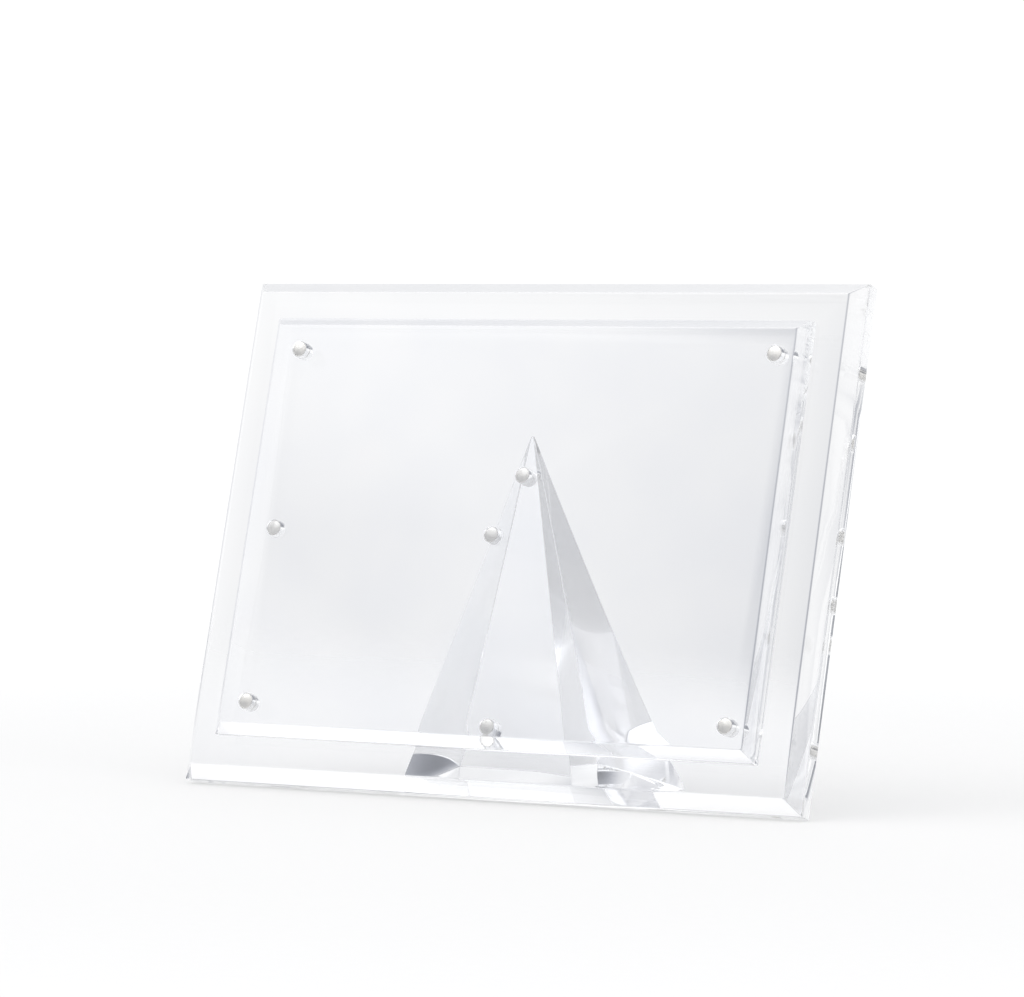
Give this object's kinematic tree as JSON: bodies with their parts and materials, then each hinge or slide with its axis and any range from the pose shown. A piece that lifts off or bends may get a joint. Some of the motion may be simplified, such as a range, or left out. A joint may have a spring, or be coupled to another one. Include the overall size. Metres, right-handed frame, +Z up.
{
  "type": "acrylic block photo frame",
  "caption": "Clear acrylic photo frame: a bevelled front block held by magnets on a larger bevelled back block, leaning on a solid pyramid easel.",
  "frame": {"origin": "centre of the easel's base, on the table", "axes": "+X along the blocks' long side to the viewer's right, +Y towards the back, +Z up; the frame's front looks towards -Y"},
  "size_m": [0.2032, 0.0686, 0.1479],
  "materials": {
    "clear_acrylic_back": "clear cast acrylic, polished on every face and edge",
    "clear_acrylic_front": "clear cast acrylic, polished on every face and edge",
    "clear_acrylic_easel": "clear cast acrylic, diamond polished faces",
    "nickel_plate": "bright nickel plating on a sintered magnet"
  },
  "bodies": {
    "easel": {"easel_pyramid": "clear_acrylic_easel", "easel_magnet_lower": "nickel_plate", "easel_magnet_upper": "nickel_plate"},
    "back_block": {"back_block": "clear_acrylic_back", "back_magnet_lower_left": "nickel_plate", "back_magnet_lower_right": "nickel_plate", "back_magnet_upper_left": "nickel_plate", "back_magnet_upper_right": "nickel_plate", "landscape_magnet_lower": "nickel_plate", "landscape_magnet_upper": "nickel_plate", "portrait_magnet_lower": "nickel_plate", "portrait_magnet_upper": "nickel_plate"},
    "front_block": {"front_block": "clear_acrylic_front", "front_magnet_lower_left": "nickel_plate", "front_magnet_lower_right": "nickel_plate", "front_magnet_upper_left": "nickel_plate", "front_magnet_upper_right": "nickel_plate"}
  },
  "joints": [
    {"name": "back_block_lift", "type": "slide", "parent": "easel", "child": "back_block", "axis": [0, -0.9629, 0.27], "range_m": [0, 0.06]},
    {"name": "front_block_lift", "type": "slide", "parent": "back_block", "child": "front_block", "axis": [0, -0.9629, 0.27], "range_m": [0, 0.06]}
  ]
}
